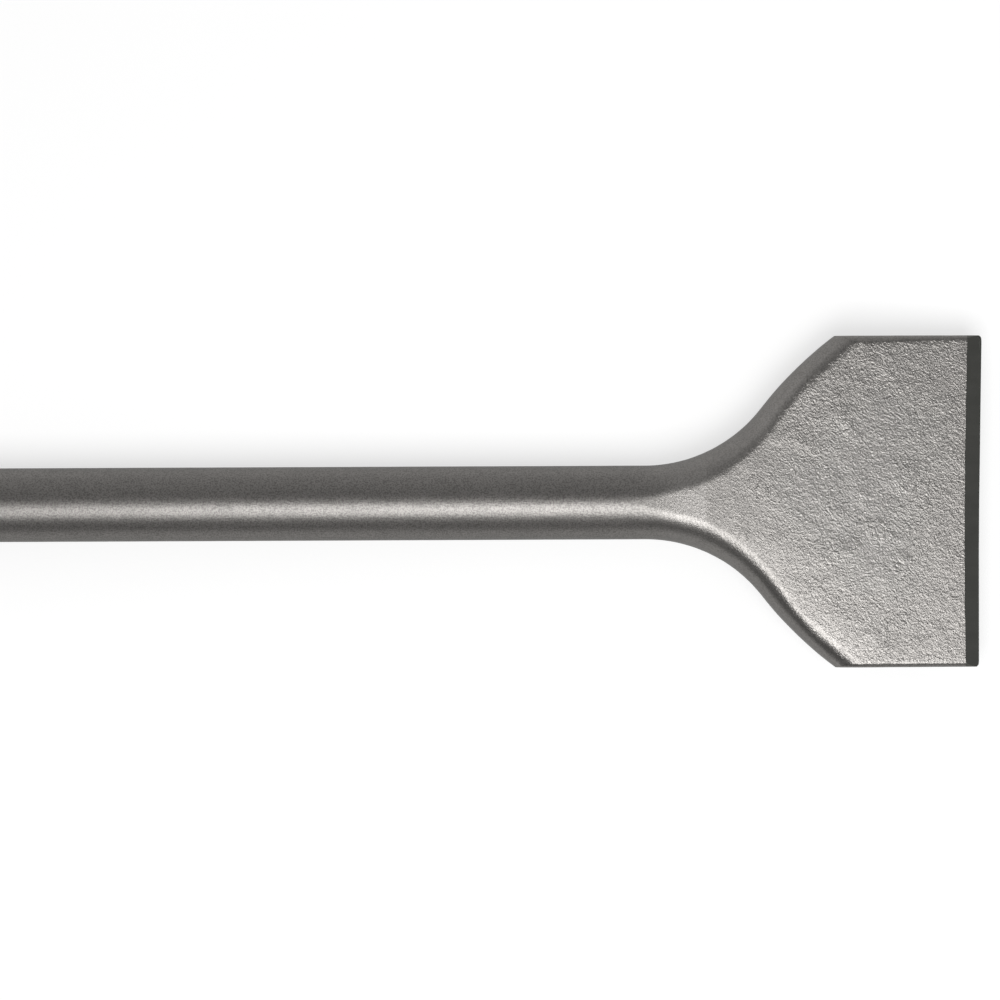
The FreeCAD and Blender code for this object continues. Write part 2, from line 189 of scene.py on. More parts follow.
turnAngle = math.radians(chisel["flareAngle"])
neckCentre = (chisel["flareStart"], chisel["shaftRadius"] + chisel["neckRadius"])
turnPlace = chisel["flareStart"] + chisel["neckRadius"] * math.sin(turnAngle)
turnWidth = neckCentre[1] - chisel["neckRadius"] * math.cos(turnAngle)
shoulderCentre = (
    turnPlace + chisel["shoulderRadius"] * math.sin(turnAngle),
    turnWidth - chisel["shoulderRadius"] * math.cos(turnAngle),
)
shoulderAngle = math.acos((chisel["halfWidth"] - shoulderCentre[1]) / chisel["shoulderRadius"])
shoulderPlace = shoulderCentre[0] - chisel["shoulderRadius"] * math.sin(shoulderAngle)
faceSlope = (chisel["shaftRadius"] - chisel["bevelHalf"]) / (chisel["bevelStart"] - chisel["faceStart"])
bevelSlope = (chisel["bevelHalf"] - chisel["tipHalf"]) / (chisel["length"] - chisel["bevelStart"])


# 0 at the start, 1 at the end, straight between.
def ramp(value, start, end):
    return min(1.0, max(0.0, (value - start) / (end - start)))


# The same with soft ends.
def smooth(value, start, end):
    share = ramp(value, start, end)
    return share * share * (3 - 2 * share)


# Radius of the turned part.
def barRadius(x):
    if x < chisel["endChamfer"]:
        return chisel["shankRadius"] - chisel["endChamfer"] + x
    share = ramp(x, chisel["shankLength"], chisel["shankLength"] + chisel["stepLength"])
    return chisel["shankRadius"] + (chisel["shaftRadius"] - chisel["shankRadius"]) * share


# Half the width of the forging before its flash was trimmed off.
def outlineAt(x):
    if x <= chisel["flareStart"]:
        return barRadius(x)
    if x <= turnPlace:
        return neckCentre[1] - math.sqrt(chisel["neckRadius"] ** 2 - (x - neckCentre[0]) ** 2)
    if x <= shoulderPlace:
        return shoulderCentre[1] + math.sqrt(chisel["shoulderRadius"] ** 2 - (shoulderCentre[0] - x) ** 2)
    return chisel["halfWidth"] + (x - shoulderPlace) * math.tan(shoulderAngle)


# How far inside that outline a place is, square to the outline.
def insetAt(x, y):
    forward, across = x - neckCentre[0], neckCentre[1] - y
    if forward <= 0:
        return barRadius(x) - y
    if math.atan2(forward, across) < turnAngle:
        return math.hypot(forward, across) - chisel["neckRadius"]
    back, out = shoulderCentre[0] - x, y - shoulderCentre[1]
    if math.atan2(back, out) > shoulderAngle:
        return chisel["shoulderRadius"] - math.hypot(back, out)
    return chisel["shoulderRadius"] - out * math.cos(shoulderAngle) - back * math.sin(shoulderAngle)


# Half the thickness between the two flat faces.
def faceHeight(x):
    soft = chisel["faceSoftness"]
    past = (x - chisel["faceStart"]) / soft
    fall = past if past > 30 else math.log1p(math.exp(past))  # beyond 30 the two are equal
    return barRadius(x) - faceSlope * soft * fall


# How far in from the outline the round flank reaches, which is less where the head flares.
def flankReach(x, side):
    drawn = smooth(x, *chisel["narrowStart"]) * (1.0 - smooth(x, *chisel["narrowEnd"]))
    return min(faceHeight(x) * (1.0 - chisel["narrowing"][side < 0] * drawn), insetAt(x, 0.0))


# Rounding of the trimmed sides' long edges: side 1 is the back, side -1 the front.
def sideRounding(x, side):
    if side < 0:
        return chisel["frontRounding"]
    behind, ahead = chisel["backRounding"]
    return behind + (ahead - behind) * ramp(x, *chisel["backPlaces"])


# The y at which the place is this far inside the outline.
def placeInside(x, wanted):
    low, high = 0.0, outlineAt(x)
    if insetAt(x, low) <= wanted:
        return low
    for _ in range(34):  # halvings, down to less than the tiny length
        middle = (low + high) / 2
        if insetAt(x, middle) > wanted:
            low = middle
        else:
            high = middle
    return (low + high) / 2


# A quarter of the section as points (y, z), from the side to the middle of the face.
def quarterSection(x, side):
    thick, reach = faceHeight(x), flankReach(x, side)
    points = []
    for step in range(chisel["flankSteps"] + 1):
        angle = math.radians(90 * step / chisel["flankSteps"])
        points.append((placeInside(x, reach * (1 - math.cos(angle))), thick * math.sin(angle)))
    if points[-1][0] > tiny:
        points.append((points[-1][0] / 2, thick))
        points.append((0.0, thick))
    limit = chisel["halfWidth"]
    if points[0][0] > limit + tiny:
        points = trimmedSection(points, limit, sideRounding(x, side))
    if x > chisel["bevelStart"]:
        ground = groundHalf(x)
        points = [(y, min(z, ground)) for y, z in points]
        past = max(0.0, x - chisel["length"] + chisel["cornerRadius"])
        corner = chisel["cornerRadius"] - math.sqrt(max(0.0, chisel["cornerRadius"] ** 2 - past ** 2))
        points = [(min(y, limit - corner), z) for y, z in points]
    return points


# Half the thickness between the two ground bevels.
def groundHalf(x):
    return chisel["bevelHalf"] - (x - chisel["bevelStart"]) * bevelSlope


# Cuts the section off at the trimmed side and rounds the corner that this leaves.
def trimmedSection(points, limit, radius):
    first = next(i for i, (y, z) in enumerate(points) if y <= limit)
    (outerY, outerZ), (innerY, innerZ) = points[first - 1], points[first]
    share = (outerY - limit) / max(tiny, outerY - innerY)
    cornerZ = outerZ + (innerZ - outerZ) * share
    radius = min(radius, chisel["roundingLimit"] * cornerZ)
    curve = [(limit, cornerZ)] + points[first:]
    # walks inwards to where a circle of that radius touches both the curve and the side
    dense = []
    for (fromY, fromZ), (toY, toZ) in zip(curve, curve[1:]):
        steps = max(1, int(math.hypot(toY - fromY, toZ - fromZ) / chisel["walkStep"]))
        for i in range(steps):
            dense.append((fromY + (toY - fromY) * i / steps, fromZ + (toZ - fromZ) * i / steps))
    for (fromY, fromZ), (toY, toZ) in zip(dense, dense[1:]):
        length = math.hypot(toY - fromY, toZ - fromZ)
        normalY, normalZ = (toZ - fromZ) / length, (fromY - toY) / length
        if fromY - radius * normalY <= limit - radius:
            break
    centreY, centreZ = limit - radius, fromZ - radius * normalZ
    lean = math.atan2(normalZ, normalY)
    turns = [lean * i / chisel["filletSteps"] for i in range(chisel["filletSteps"] + 1)]
    fillet = [(centreY + radius * math.cos(turn), centreZ + radius * math.sin(turn)) for turn in turns]
    rest = [(y, z) for y, z in curve if y < fillet[-1][0] - chisel["leastGap"]]
    return [(limit, 0.0)] + fillet + rest


# Spreads a quarter's points evenly by length and by how much the outline turns.
def spread(points, steps):
    turns = []
    for (aY, aZ), (bY, bZ) in zip(points, points[1:]):
        turns.append(math.atan2(bZ - aZ, bY - aY) if math.hypot(bY - aY, bZ - aZ) > tiny else None)
    weights = []
    for index, ((aY, aZ), (bY, bZ)) in enumerate(zip(points, points[1:])):
        bend = 0.0
        for other in (index - 1, index + 1):
            if 0 <= other < len(turns) and turns[other] is not None and turns[index] is not None:
                bend += abs(math.remainder(turns[other] - turns[index], math.tau)) / 2
        length = math.hypot(bY - aY, bZ - aZ)
        weights.append(length / chisel["faceLength"] + bend / math.radians(chisel["faceTurn"]))
    total, reached, made, index = sum(weights), 0.0, [], 0
    for step in range(steps + 1):
        target = total * step / steps
        while index < len(weights) - 1 and reached + weights[index] < target:
            reached += weights[index]
            index += 1
        share = min(1.0, (target - reached) / max(weights[index], 1e-9))
        (aY, aZ), (bY, bZ) = points[index], points[index + 1]
        made.append((aY + (bY - aY) * share, aZ + (bZ - aZ) * share))
    return made


# Where the hand-ground border and the cutting edge leave their straight lines: y, offset along X.
borderOffsets = (
    (-40.0, -0.26), (-36.0, -0.29), (-24.0, -0.45), (-12.0, -0.41), (0.0, -0.36),
    (12.0, -0.20), (24.0, 0.08), (38.0, 0.39), (40.0, 0.39),
)
edgeOffsets = (
    (-40.0, -0.56), (-12.0, -0.46), (0.0, -0.33), (12.0, -0.10), (24.0, 0.11),
    (38.0, 0.38), (40.0, 0.38),
)


def offsetAt(rows, y):
    for (fromY, fromOffset), (toY, toOffset) in zip(rows, rows[1:]):
        if y <= toY:
            share = max(0.0, (y - fromY) / (toY - fromY))
            return fromOffset + (toOffset - fromOffset) * share
    return rows[-1][1]


# Moves a point near the tip along X, and keeps it on its plane.
def handGround(x, y, z):
    begin, bevelStart, bevelHalf = chisel["groundFrom"], chisel["bevelStart"], chisel["bevelHalf"]
    if x <= begin:
        return x, y, z
    row = Vector((y / chisel["waverLength"], 3.0, math.copysign(5.0, z)))  # one above, one below
    border = offsetAt(borderOffsets, y) + chisel["waver"] * noise.noise(row)
    edge = offsetAt(edgeOffsets, y)
    if x <= bevelStart:
        moved = x + border * (x - begin) / (bevelStart - begin)
        return moved, y, z * faceHeight(moved) / faceHeight(x)
    share = (x - bevelStart) / (chisel["length"] - bevelStart)
    borderHalf = faceHeight(bevelStart + border)
    thick = borderHalf + (chisel["tipHalf"] - borderHalf) * share
    nominal = bevelHalf + (chisel["tipHalf"] - bevelHalf) * share
    return x + border * (1 - share) + edge * share, y, z * thick / nominal


# Places along the tool where the mesh has a ring.
def ringPlaces():
    tipStart = chisel["length"] - chisel["cornerRadius"]
    # the end of each stretch, and its steps
    stretches = (
        (chisel["endChamfer"], 2),
        (chisel["shankLength"], 58),
        (chisel["shankLength"] + chisel["stepLength"], 3),
        (262.0, 84),  # plain shaft
        (282.0, 24),  # neck
        (shoulderPlace, 56),
        (shoulderPlace + 1.2, 4),  # shoulder corner
        (chisel["bevelStart"], 50),
        (tipStart, 6),
    )
    places, start = [], 0.0
    for end, steps in stretches:
        places += [start + (end - start) * i / steps for i in range(steps)]
        start = end
    cornerSteps = 9
    for i in range(cornerSteps + 1):
        places.append(tipStart + chisel["cornerRadius"] * math.sin(math.radians(90 * i / cornerSteps)))
    return places


finishIndex = {"forged": 0, "bevel": 1, "side": 2, "shank": 3, "groove": 4}


def ringPoints(x):
    steps = chisel["quarterSteps"]
    left, right = (spread(quarterSection(x, side), steps) for side in (1, -1))
    ring = left[:steps]
    ring += [(-y, z) for y, z in right[steps:0:-1]]
    ring += [(-y, -z) for y, z in right[:steps]]
    ring += [(y, -z) for y, z in left[steps:0:-1]]
    return [handGround(x, y, z) for y, z in ring]


# Which finish a face between two rings has.
def finishOf(x, corners):
    if x < chisel["shankLength"] + chisel["stepLength"]:
        return finishIndex["shank"]
    sideFrom = chisel["halfWidth"] - chisel["sideBand"]
    if x > shoulderPlace and all(abs(y) > sideFrom for _, y, _ in corners):
        return finishIndex["side"]
    if x > chisel["bevelStart"]:
        onBevel = all(abs(z) > chisel["bevelShare"] * groundHalf(x) for _, _, z in corners)
        return finishIndex["bevel" if onBevel else "side"]
    return finishIndex["forged"]


def forgeBlank():
    places = ringPlaces()
    count = 4 * chisel["quarterSteps"]
    mesh = bmesh.new()
    rings = []
    for x in places:
        rings.append([mesh.verts.new(Vector(point) * toMetres) for point in ringPoints(x)])
    for index, (ring, following) in enumerate(zip(rings, rings[1:])):
        middle = (places[index] + places[index + 1]) / 2
        for i in range(count):
            j = (i + 1) % count
            corners = [ring[i], ring[j], following[j], following[i]]
            finish = finishOf(middle, [v.co * toMillimetres for v in corners])
            mesh.faces.new(corners).material_index = finish
    # striking face: rings that close on the middle
    outer = rings[0]
    for share in (0.75, 0.5, 0.25):
        inner = [mesh.verts.new((0.0, v.co.y * share, v.co.z * share)) for v in rings[0]]
        for i in range(count):
            j = (i + 1) % count
            mesh.faces.new([outer[j], outer[i], inner[i], inner[j]]).material_index = finishIndex["shank"]
        outer = inner
    middle = mesh.verts.new((0.0, 0.0, 0.0))
    for i in range(count):
        mesh.faces.new([outer[(i + 1) % count], outer[i], middle]).material_index = finishIndex["shank"]
    # cutting edge: the narrow flat between the two bevels
    tip = rings[-1]
    for i in range(count // 2):
        corners = [tip[i], tip[i + 1], tip[count - i - 1], tip[(count - i) % count]]
        corners = [v for k, v in enumerate(corners) if v not in corners[:k]]
        if len(corners) > 2:
            mesh.faces.new(corners).material_index = finishIndex["bevel"]
    return mesh


# Real relief that the dies and the hammering left, in millimetres. The pairs are as above.
relief = {
    "start": (92.0, 104.0),
    "beforeBevel": (0.3, 3.3),  # the same at the front, as gaps to the bevel
    "head": (268.0, 288.0),
    "lumpHeight": 0.035,
    "lumpLength": 5.0,
    "fineShare": 0.5,  # smaller lumps on top of those
    "fineLength": 2.3,
    "shaftShare": 0.35,  # how high the lumps are on the shaft, against the head
    "waveHeight": 0.05,  # long waves of the faces
    "waveLength": 24.0,
    "apart": 40.0,  # keeps the two faces' lumps unlike
    "droop": 0.03,  # how far the front half of each face falls towards its flank
    "droopLength": 8.0,
    "droopEnd": (310.0, 328.0),
    "roll": 0.15,  # the same, close to the flank
    "rollLength": 3.6,
    "rollStart": (276.0, 300.0),
    "rollAcross": (0.0, 14.0),  # y
    "sideShare": 0.5,  # how much of it the trimmed sides keep
}


def addRelief(mesh):
    mesh.normal_update()
    frontEnd = [chisel["bevelStart"] - gap for gap in relief["beforeBevel"]]
    fineShift, waveShift = Vector((7, 1, 4)), Vector((3, 9, 2))
    moves = []
    for vertex in mesh.verts:
        x, y, z = vertex.co * toMillimetres
        share = ramp(x, *relief["start"]) * ramp(x, *frontEnd)
        if share <= 0.0:
            continue
        head = ramp(x, *relief["head"])
        place = Vector((x, y, z + math.copysign(relief["apart"], z) * head))
        lump = noise.noise(place / relief["lumpLength"])
        lump += relief["fineShare"] * noise.noise(place / relief["fineLength"] + fineShift)
        wave = noise.noise(place / relief["waveLength"] + waveShift)
        grown = relief["shaftShare"] + (1.0 - relief["shaftShare"]) * head
        height = relief["lumpHeight"] * grown * lump + relief["waveHeight"] * head * wave
        if y < 0.0:
            flat = max(0.0, insetAt(x, -y) - flankReach(x, -1))
            fall = relief["droop"] * math.exp(-flat / relief["droopLength"])
            fall *= 1.0 - smooth(x, *relief["droopEnd"])
            fall += relief["roll"] * math.exp(-flat / relief["rollLength"])
            fall *= smooth(-y, *relief["rollAcross"]) * smooth(x, *relief["rollStart"])
            height -= fall * abs(vertex.normal.z)
        if abs(y) > chisel["halfWidth"] - chisel["sideBand"]:
            height = min(0.0, height) * relief["sideShare"]
        moves.append((vertex, vertex.normal * (height * share * toMetres)))
    limit = chisel["halfWidth"] * toMetres
    for vertex, move in moves:
        vertex.co += move
        vertex.co.y = min(limit, max(-limit, vertex.co.y))


# Grooves of the shank, in millimetres.
grooves = {
    "driveLength": 72.0,
    "driveHalf": 2.5,
    "driveFloor": 6.4,
    "driveCutter": 14.0,
    "driveSpread": 35.0,  # each paired groove to the side opposite the single one, degrees
    "driveSteps": 14,  # mesh steps along the cutter's arc
    "lockStart": 20.0,
    "lockEnd": 60.0,
    "lockHalf": 2.9,
    "lockFloor": 6.0,
    "lockSteps": 20,  # mesh steps round each end
    "lip": 0.22,  # broken edge round each groove
    "root": 0.45,  # the floor's rounded corners, and how far in their middle lies
    "rootMiddle": 0.13,
    "behind": 2.0,  # how far an open groove's cutter starts behind the striking face
    "above": 11.0,  # the height over the axis that it reaches
    "beside": 1.5,  # how far a closed groove's cutter widens and rises from its lip
}


# Skins a row of equal rings and closes both ends.
def skinRings(mesh, rings):
    made = [[mesh.verts.new(point) for point in ring] for ring in rings]
    for ring, following in zip(made, made[1:]):
        for i in range(len(ring)):
            j = (i + 1) % len(ring)
            mesh.faces.new([ring[i], ring[j], following[j], following[i]])
    mesh.faces.new(made[0][::-1])
    mesh.faces.new(made[-1])


# An open groove: straight from the striking face, then up along the cutter's arc.
def driveCutter(mesh, angle):
    up = Vector((0.0, math.cos(angle), math.sin(angle)))
    across = Vector((0.0, -math.sin(angle), math.cos(angle)))
    half, floor, cutter = grooves["driveHalf"], grooves["driveFloor"], grooves["driveCutter"]
    root, bend, above = grooves["root"], grooves["rootMiddle"], grooves["above"]
    length, steps = grooves["driveLength"], grooves["driveSteps"]
    lipHeight = math.sqrt(chisel["shankRadius"] ** 2 - half ** 2) - grooves["lip"]
    turn = length - math.sqrt(cutter ** 2 - (cutter + floor - chisel["shankRadius"]) ** 2)
    places = [-grooves["behind"], turn]
    places += [turn + (length - turn) * i / steps for i in range(1, steps + 1)]
    rings = []
    for x in places:
        low = floor if x <= turn else floor + cutter - math.sqrt(cutter ** 2 - (x - turn) ** 2)
        wide = half + max(0.0, low - lipHeight)
        wallTop = max(lipHeight, low + root)
        side = [(wide - root, low), (wide - bend, low + bend), (wide, low + root),
                (wide, wallTop), (wide + above - wallTop, above)]
        profile = side + [(-v, w) for v, w in reversed(side)]
        rings.append([(Vector((x, 0, 0)) + across * v + up * w) * toMetres for v, w in profile])
    skinRings(mesh, rings)


# A closed groove with round ends, above or below.
def lockCutter(mesh, sign):
    half, floor, lip = grooves["lockHalf"], grooves["lockFloor"], grooves["lip"]
    root, bend, beside = grooves["root"], grooves["rootMiddle"], grooves["beside"]
    near, far = grooves["lockStart"] + half, grooves["lockEnd"] - half
    sweep = [180 * i / grooves["lockSteps"] for i in range(grooves["lockSteps"] + 1)]
    outline = [(far, -90 + angle) for angle in sweep] + [(near, 90 + angle) for angle in sweep]
    # how far inside the outline each ring is, how far above the floor or the surface, and which
    levels = (
        (root, 0.0, False), (bend, bend, False), (0.0, root, False),
        (0.0, -lip, True), (-beside, beside - lip, True),
    )
    rings = []
    for inset, rise, onSurface in levels:
        ring = []
        for centre, degrees in outline:
            turn = math.radians(degrees)
            surface = math.sqrt(chisel["shankRadius"] ** 2 - (half * math.sin(turn)) ** 2)
            height = (surface if onSurface else floor) + rise
            wide = half - inset
            point = Vector((centre + wide * math.cos(turn), wide * math.sin(turn), height)) * toMetres
            ring.append(point)
        if sign < 0:
            ring = [Vector((p.x, -p.y, -p.z)) for p in ring]
        rings.append(ring)
    skinRings(mesh, rings)


def meshObject(name, mesh, materials):
    data = bpy.data.meshes.new(name)
    mesh.to_mesh(data)
    mesh.free()
    for material in materials:
        data.materials.append(material)
    made = bpy.data.objects.new(name, data)
    bpy.context.scene.collection.objects.link(made)
    return made


# Takes the grooves out of the shank.
def millGrooves(blank, groove):
    cutters = bmesh.new()
    driveCutter(cutters, 0.0)
    for sign in (1, -1):
        driveCutter(cutters, sign * math.radians(180 - grooves["driveSpread"]))
        lockCutter(cutters, sign)
    bmesh.ops.recalc_face_normals(cutters, faces=cutters.faces)
    cutter = meshObject("groove_cutters", cutters, [groove])
    cut = blank.modifiers.new("grooves", "BOOLEAN")
    cut.operation = "DIFFERENCE"
    cut.solver = "EXACT"
    cut.material_mode = "TRANSFER"
    cut.object = cutter
    solid = bpy.data.meshes.new_from_object(blank.evaluated_get(bpy.context.evaluated_depsgraph_get()))
    blank.modifiers.clear()
    blank.data = solid
    bpy.data.objects.remove(cutter)


# Smooth all over, with crisp lines where the surface breaks or a ground face begins.
def shadeEdges(piece):
    crease, finishCrease = math.radians(chisel["crease"]), math.radians(chisel["finishCrease"])
    mesh = bmesh.new()
    mesh.from_mesh(piece.data)
    for face in mesh.faces:
        face.smooth = True
    for edge in mesh.edges:
        if len(edge.link_faces) == 2:
            turn = edge.calc_face_angle(0.0)
            ground = len({face.material_index for face in edge.link_faces}) > 1
            edge.smooth = not (turn > crease or (ground and turn > finishCrease))
    mesh.to_mesh(piece.data)
    mesh.free()


# Forged skin: shot-blasted, with a fine slanting peel and a few deeper marks on the faces.
# Lengths are in millimetres, heights and places along X in metres.
forgedSkin = {
    "dull": (0.229, 0.221, 0.211),
    "colour": (0.252, 0.242, 0.231),
    "pressed": (0.247, 0.237, 0.227),  # the head, which the dies pressed last
    "light": (0.272, 0.261, 0.249),
    "throatHighlight": (0.310, 0.298, 0.286),  # painted highlight: a lighter colour where the upright neck catches the light, just before the faces begin
    "toneLength": 3.2,
    "toneRange": (0.3, 0.7),
    "pit": 0.60,  # how dark the blasted pits are against the skin round them
    "pitLength": 0.36,
    "pitRange": (0.34, 0.60),
    "pitShare": (0.95, 0.60),  # how much of them shows on the bar and on the head
    "patchLength": 9.0,
    "patchiness": 0.8,  # how unevenly the peel lies
    "roughness": 0.31,
    "barRoughness": 0.37,
    "roughnessRange": 0.06,
    "slant": -52.0,  # degrees
    "stretch": (1.12, 0.97, 1.05),
    "peelLength": 0.43,
    "peelHeight": 0.000039,
    "peelRange": (0.46, 0.68),
    "barPeel": 0.45,  # share of that height on the bar
    "facePeel": (0.25, 0.75),  # the same on the faces, and what the growth adds
    "growth": 0.55,  # share of the growth where the faces begin
    "coarseLength": 1.1,
    "coarseHeight": 0.000090,
    "grainLength": 0.22,
    "grainHeight": 0.000020,
    "markLength": 4.2,
    "markWidth": 0.035,
    "markHeight": 0.000045,
    "markPatches": (0.56, 0.70),
    "headPlaces": (0.262, 0.280),
    "throatHighlightPlaces": (0.2700, 0.2790),
    "facePlaces": (0.2832, 0.2840),
    "growthPlaces": (0.280, 0.312),
    "pressedPlaces": (0.284, 0.312),
    "levelRange": (0.80, 0.97),  # how upright the surface is on the flat faces
}


def forgedFinish():
    finish = Finish("forged_skin")
    skin = forgedSkin
    plain = finish.grain()
    slanted = finish.grain(turn=skin["slant"], stretch=skin["stretch"])
    # where on the tool
    x = finish.node("ShaderNodeSeparateXYZ", None, {0: finish.place})
    normal = finish.node("ShaderNodeTexCoord", out="Normal")
    upright = finish.node("ShaderNodeSeparateXYZ", None, {0: normal}, out="Z")
    level = finish.step(finish.math("ABSOLUTE", upright), *skin["levelRange"])
    begun = finish.step(x, *skin["facePlaces"])
    faces = level * begun
    # painted highlight: the upward-facing part of the neck before the faces begin
    throatHighlight = level * (finish.step(x, *skin["throatHighlightPlaces"]) - begun)
    head = finish.step(x, *skin["headPlaces"])
    pressed = finish.step(x, *skin["pressedPlaces"])
    grown = finish.step(x, *skin["growthPlaces"]) * (1.0 - skin["growth"]) + skin["growth"]
    patches = finish.lumps(skin["patchLength"], plain, detail=2.0)
    # relief: half of the peel is gathered into islands
    peel = finish.lumps(skin["peelLength"], slanted, detail=1.6, rough=0.45, twist=0.5)
    peel = peel * 0.5 + finish.step(peel, *skin["peelRange"]) * 0.5
    least, added = skin["facePeel"]
    strength = faces * (grown * added + (least - skin["barPeel"])) + skin["barPeel"]
    uneven = patches * skin["patchiness"] + (1.0 - skin["patchiness"] / 2)
    height = peel * strength * uneven * skin["peelHeight"]
    coarse = finish.lumps(skin["coarseLength"], slanted, detail=2.0, rough=0.55, twist=0.8) - 0.5
    height += coarse * faces * grown * skin["coarseHeight"]
    grain = finish.lumps(skin["grainLength"], plain, detail=2.0, rough=0.6) - 0.5
    height += grain * (1.0 - faces * 0.5) * skin["grainHeight"]
    ridges = finish.lumps(skin["markLength"], slanted, detail=2.5, rough=0.55, twist=0.8) - 0.5
    marks = finish.step(finish.math("ABSOLUTE", ridges), 0.0, skin["markWidth"])
    sparse = finish.step(patches, *skin["markPatches"])
    height += marks * sparse * faces * skin["markHeight"]
    # colour
    tone = finish.lumps(skin["toneLength"], plain, detail=4.0, rough=0.6)
    tone = finish.step(tone, *skin["toneRange"])
    bar = finish.blend(tone, skin["dull"], skin["colour"])
    colour = finish.blend(head, bar, finish.blend(tone, skin["pressed"], skin["light"]))
    # paints that highlight as a lighter colour
    colour = finish.blend(throatHighlight, colour, skin["throatHighlight"])
    pits = 1.0 - finish.step(finish.lumps(skin["pitLength"], plain, detail=1.5), *skin["pitRange"])
    onBar, onHead = skin["pitShare"]
    blasted = head * (onHead - onBar) + onBar
    colour = finish.blend(pits * blasted, colour, [skin["pit"] * c for c in skin["colour"]])
    roughness = patches * skin["roughnessRange"] + (skin["barRoughness"] - skin["roughnessRange"] / 2)
    roughness += pressed * (skin["roughness"] - skin["barRoughness"])
    return finish.metal(colour, roughness, height)


# Ground bevel: smooth and fine-lined along the tool; its colour is the ground steel's, darkened to paint
# the shade of a bevel that faces away from the light.
groundBevel = {
    # partly painted shade: darker than the steel itself, for the bevel turned away from the light
    "colour": (0.146, 0.147, 0.136),
    "darker": 0.80,
    "toneLength": 3.0,
    "toneStretch": (4.0, 1.0, 1.0),
    "toneDetail": 3.0,
    "roughness": 0.30,
    "roughnessRange": 0.06,
    "lineLength": 0.22,
    "lineStretch": (30.0, 1.0, 1.0),
    "lineDetail": 2.0,
    "lineHeight": 0.0000040,
}

# Trimmed sides: sheared, then blasted, with faint upright tears; their colour is darker than the forged
# skin, partly as painted shade of these steep sides.
trimmedSide = {
    # partly painted shade: darker than the forged skin, to dim the steep sides
    "colour": (0.20, 0.194, 0.186),
    "darker": 0.85,
    "toneLength": 2.5,
    "toneStretch": (1.0, 1.0, 1.0),
    "toneDetail": 3.0,
    "roughness": 0.40,
    "roughnessRange": 0.08,
    "lineLength": 0.7,
    "lineStretch": (1.0, 1.0, 6.0),
    "lineDetail": 3.0,
    "lineHeight": 0.0000040,
}

# Ground shank: brighter, with lines that run round it.
groundShank = {
    "colour": (0.34, 0.332, 0.32),
    "darker": 0.84,
    "toneLength": 4.0,
    "toneStretch": (1.0, 1.0, 1.0),
    "toneDetail": 4.0,
    "roughness": 0.30,
    "roughnessRange": 0.08,
    "lineLength": 0.16,
    "lineStretch": (1.0, 14.0, 14.0),
    "lineDetail": 3.0,
    "lineHeight": 0.0000012,
}

# Milled grooves: the cutter's marks, a little darker.
milledGroove = {
    "colour": (0.25, 0.243, 0.235),
    "darker": 0.80,
    "toneLength": 3.0,
    "toneStretch": (1.0, 1.0, 1.0),
    "toneDetail": 3.0,
    "roughness": 0.36,
    "roughnessRange": 0.08,
    "lineLength": 0.5,
    "lineStretch": (1.0, 8.0, 8.0),
    "lineDetail": 2.0,
    "lineHeight": 0.0000030,
}


# A cut or ground surface: fine lines one way, over a patchy tone.
def linedFinish(name, look):
    finish = Finish(name)
    lines = finish.grain(stretch=look["lineStretch"])
    lines = finish.lumps(look["lineLength"], lines, detail=look["lineDetail"]) - 0.5
    tone = finish.grain(stretch=look["toneStretch"])
    tone = finish.lumps(look["toneLength"], tone, detail=look["toneDetail"])
    colour = finish.blend(tone, [look["darker"] * c for c in look["colour"]], look["colour"])
    roughness = tone * look["roughnessRange"] + (look["roughness"] - look["roughnessRange"] / 2)
    return finish.metal(colour, roughness, lines * look["lineHeight"])


def makeChisel():
    blank = forgeBlank()
    addRelief(blank)
    groove = linedFinish("milled_groove", milledGroove)
    finishes = [  # in the order of finishIndex
        forgedFinish(),
        linedFinish("ground_bevel", groundBevel),
        linedFinish("trimmed_side", trimmedSide),
        linedFinish("ground_shank", groundShank),
        groove,
    ]
    piece = meshObject("flat_chisel_steel", blank, finishes)
    millGrooves(piece, groove)
    shadeEdges(piece)
    return piece


steel = makeChisel()
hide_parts("flat_chisel")
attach(steel, "root")
print("chisel made:", len(steel.data.polygons), "faces,", len(steel.data.materials), "finishes")


# Pale floor under the chisel, in metres.
floorLook = {
    "middle": 0.234,
    "height": -0.009,
    "radius": 2.6,
    "segments": 96,
    "colour": (0.42, 0.42, 0.42),
    "darker": 0.99,
    "cloudLength": 60.0,  # millimetres
    "lift": 0.63,  # a glow that only the camera and the metal see
    "mirrored": 0.60,  # how much of it the metal sees
    "liftReach": (0.5, 2.4),  # where it begins to fade, and where it ends
}


def floorFinish():
    finish = Finish("pale_floor")
    cloud = finish.lumps(floorLook["cloudLength"], finish.grain(), detail=2.0)
    darker = [floorLook["darker"] * c for c in floorLook["colour"]]
    tint = finish.blend(cloud, darker, floorLook["colour"])
    diffuse = finish.node("ShaderNodeBsdfDiffuse", None, {"Color": tint})
    seen = finish.node("ShaderNodeLightPath", out="Is Camera Ray")
    for kind in ("Is Glossy Ray", "Is Transmission Ray"):
        mirrored = finish.node("ShaderNodeLightPath", out=kind) * floorLook["mirrored"]
        seen = finish.math("MAXIMUM", seen, mirrored)
    away = finish.node("ShaderNodeVectorMath", {"operation": "LENGTH"}, {0: finish.place}, out="Value")
    pool = 1.0 - finish.step(away, *floorLook["liftReach"])
    glow = finish.node(
        "ShaderNodeEmission", None, {"Color": (1.0, 1.0, 1.0, 1.0), "Strength": floorLook["lift"]},
    )
    lifted = finish.node("ShaderNodeAddShader", None, {0: diffuse, 1: glow})
    return finish.close(finish.node("ShaderNodeMixShader", None, {0: seen * pool, 1: diffuse, 2: lifted}))


def makeFloor():
    mesh = bmesh.new()
    bmesh.ops.create_circle(
        mesh, cap_ends=True, cap_tris=False, segments=floorLook["segments"], radius=floorLook["radius"],
    )
    floor = meshObject("pale_floor", mesh, [floorFinish()])
    floor.location = (floorLook["middle"], 0.0, floorLook["height"])


makeFloor()


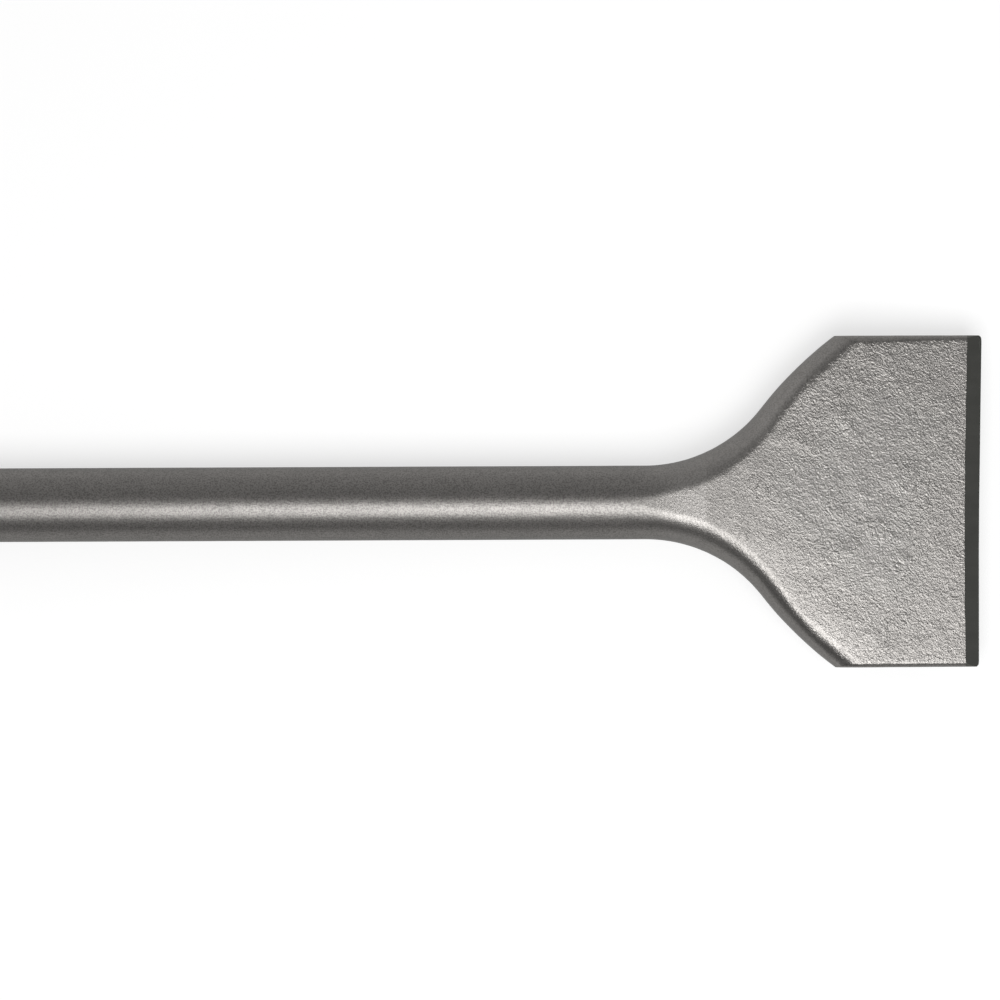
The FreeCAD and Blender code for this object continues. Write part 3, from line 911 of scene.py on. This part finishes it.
# One long soft light above and a little to the front, in a dim room with a few lighter patches.
studio = {
    "lean": 20.0,  # degrees from straight above, towards the front
    "distance": 0.80,
    "length": 0.62,
    "width": 0.46,
    "middle": 0.37,  # X of the light's middle
    "brightness": 5.3,
    "room": 0.196,
    # where the room is lighter, in how narrow a patch, and by how much
    "sides": (
        ((0.0, 1.0, 0.0), 5.0, 0.24),
        ((-0.8, 0.5, 0.35), 4.0, 0.70),
        ((0.7, -0.65, 0.3), 8.0, 0.80),
        ((0.7, 0.65, 0.3), 8.0, 0.70),
    ),
}


def softLight(name, middle, aim, length, width, brightness):
    data = bpy.data.lights.new(name, "AREA")
    data.shape = "RECTANGLE"
    data.size = length
    data.size_y = width
    data.energy = brightness * math.pi * length * width  # even radiance over the light's face
    light = bpy.data.objects.new(name, data)
    bpy.context.scene.collection.objects.link(light)
    light.location = middle
    light.rotation_mode = "QUATERNION"
    light.rotation_quaternion = (Vector(aim) - Vector(middle)).to_track_quat("-Z", "Y")
    light.visible_camera = False


def lightStudio():
    lean, distance = math.radians(studio["lean"]), studio["distance"]
    middle = (studio["middle"], -distance * math.sin(lean), distance * math.cos(lean))
    aim = (studio["middle"], 0.0, 0.0)
    softLight("long_soft_light", middle, aim, studio["length"], studio["width"], studio["brightness"])
    room = Finish("soft_room", room=True)
    glow = studio["room"]
    for direction, narrowness, strength in studio["sides"]:
        facing = room.node(
            "ShaderNodeVectorMath", {"operation": "DOT_PRODUCT"},
            {0: room.place, 1: direction}, out="Value",
        )
        glow = room.math("POWER", room.math("MAXIMUM", facing, 0.0), narrowness) * strength + glow
    white = (1.0, 1.0, 1.0, 1.0)
    background = room.node("ShaderNodeBackground", None, {"Color": white, "Strength": glow})
    room.node("ShaderNodeOutputWorld", None, {"Surface": background}, out=None)
    bpy.context.scene.world = room.material


lightStudio()
print("floor and light made")


# Straight down: the metres across the picture are those at the chisel's middle plane.
picture = {"middle": (0.23398, 0.00074), "across": 0.24147, "lens": 250.0, "sensor": 36.0, "roll": -0.25}


def makeCamera():
    data = bpy.data.cameras.new("camera")
    data.lens = picture["lens"]
    data.sensor_width = picture["sensor"]
    data.clip_start = 0.05
    data.clip_end = 20.0
    camera = bpy.data.objects.new("camera", data)
    bpy.context.scene.collection.objects.link(camera)
    camera.location = (*picture["middle"], picture["across"] * picture["lens"] / picture["sensor"])
    camera.rotation_euler = (0.0, 0.0, math.radians(picture["roll"]))
    bpy.context.scene.camera = camera


makeCamera()
bpy.context.scene.view_settings.view_transform = "Standard"
print("camera placed")
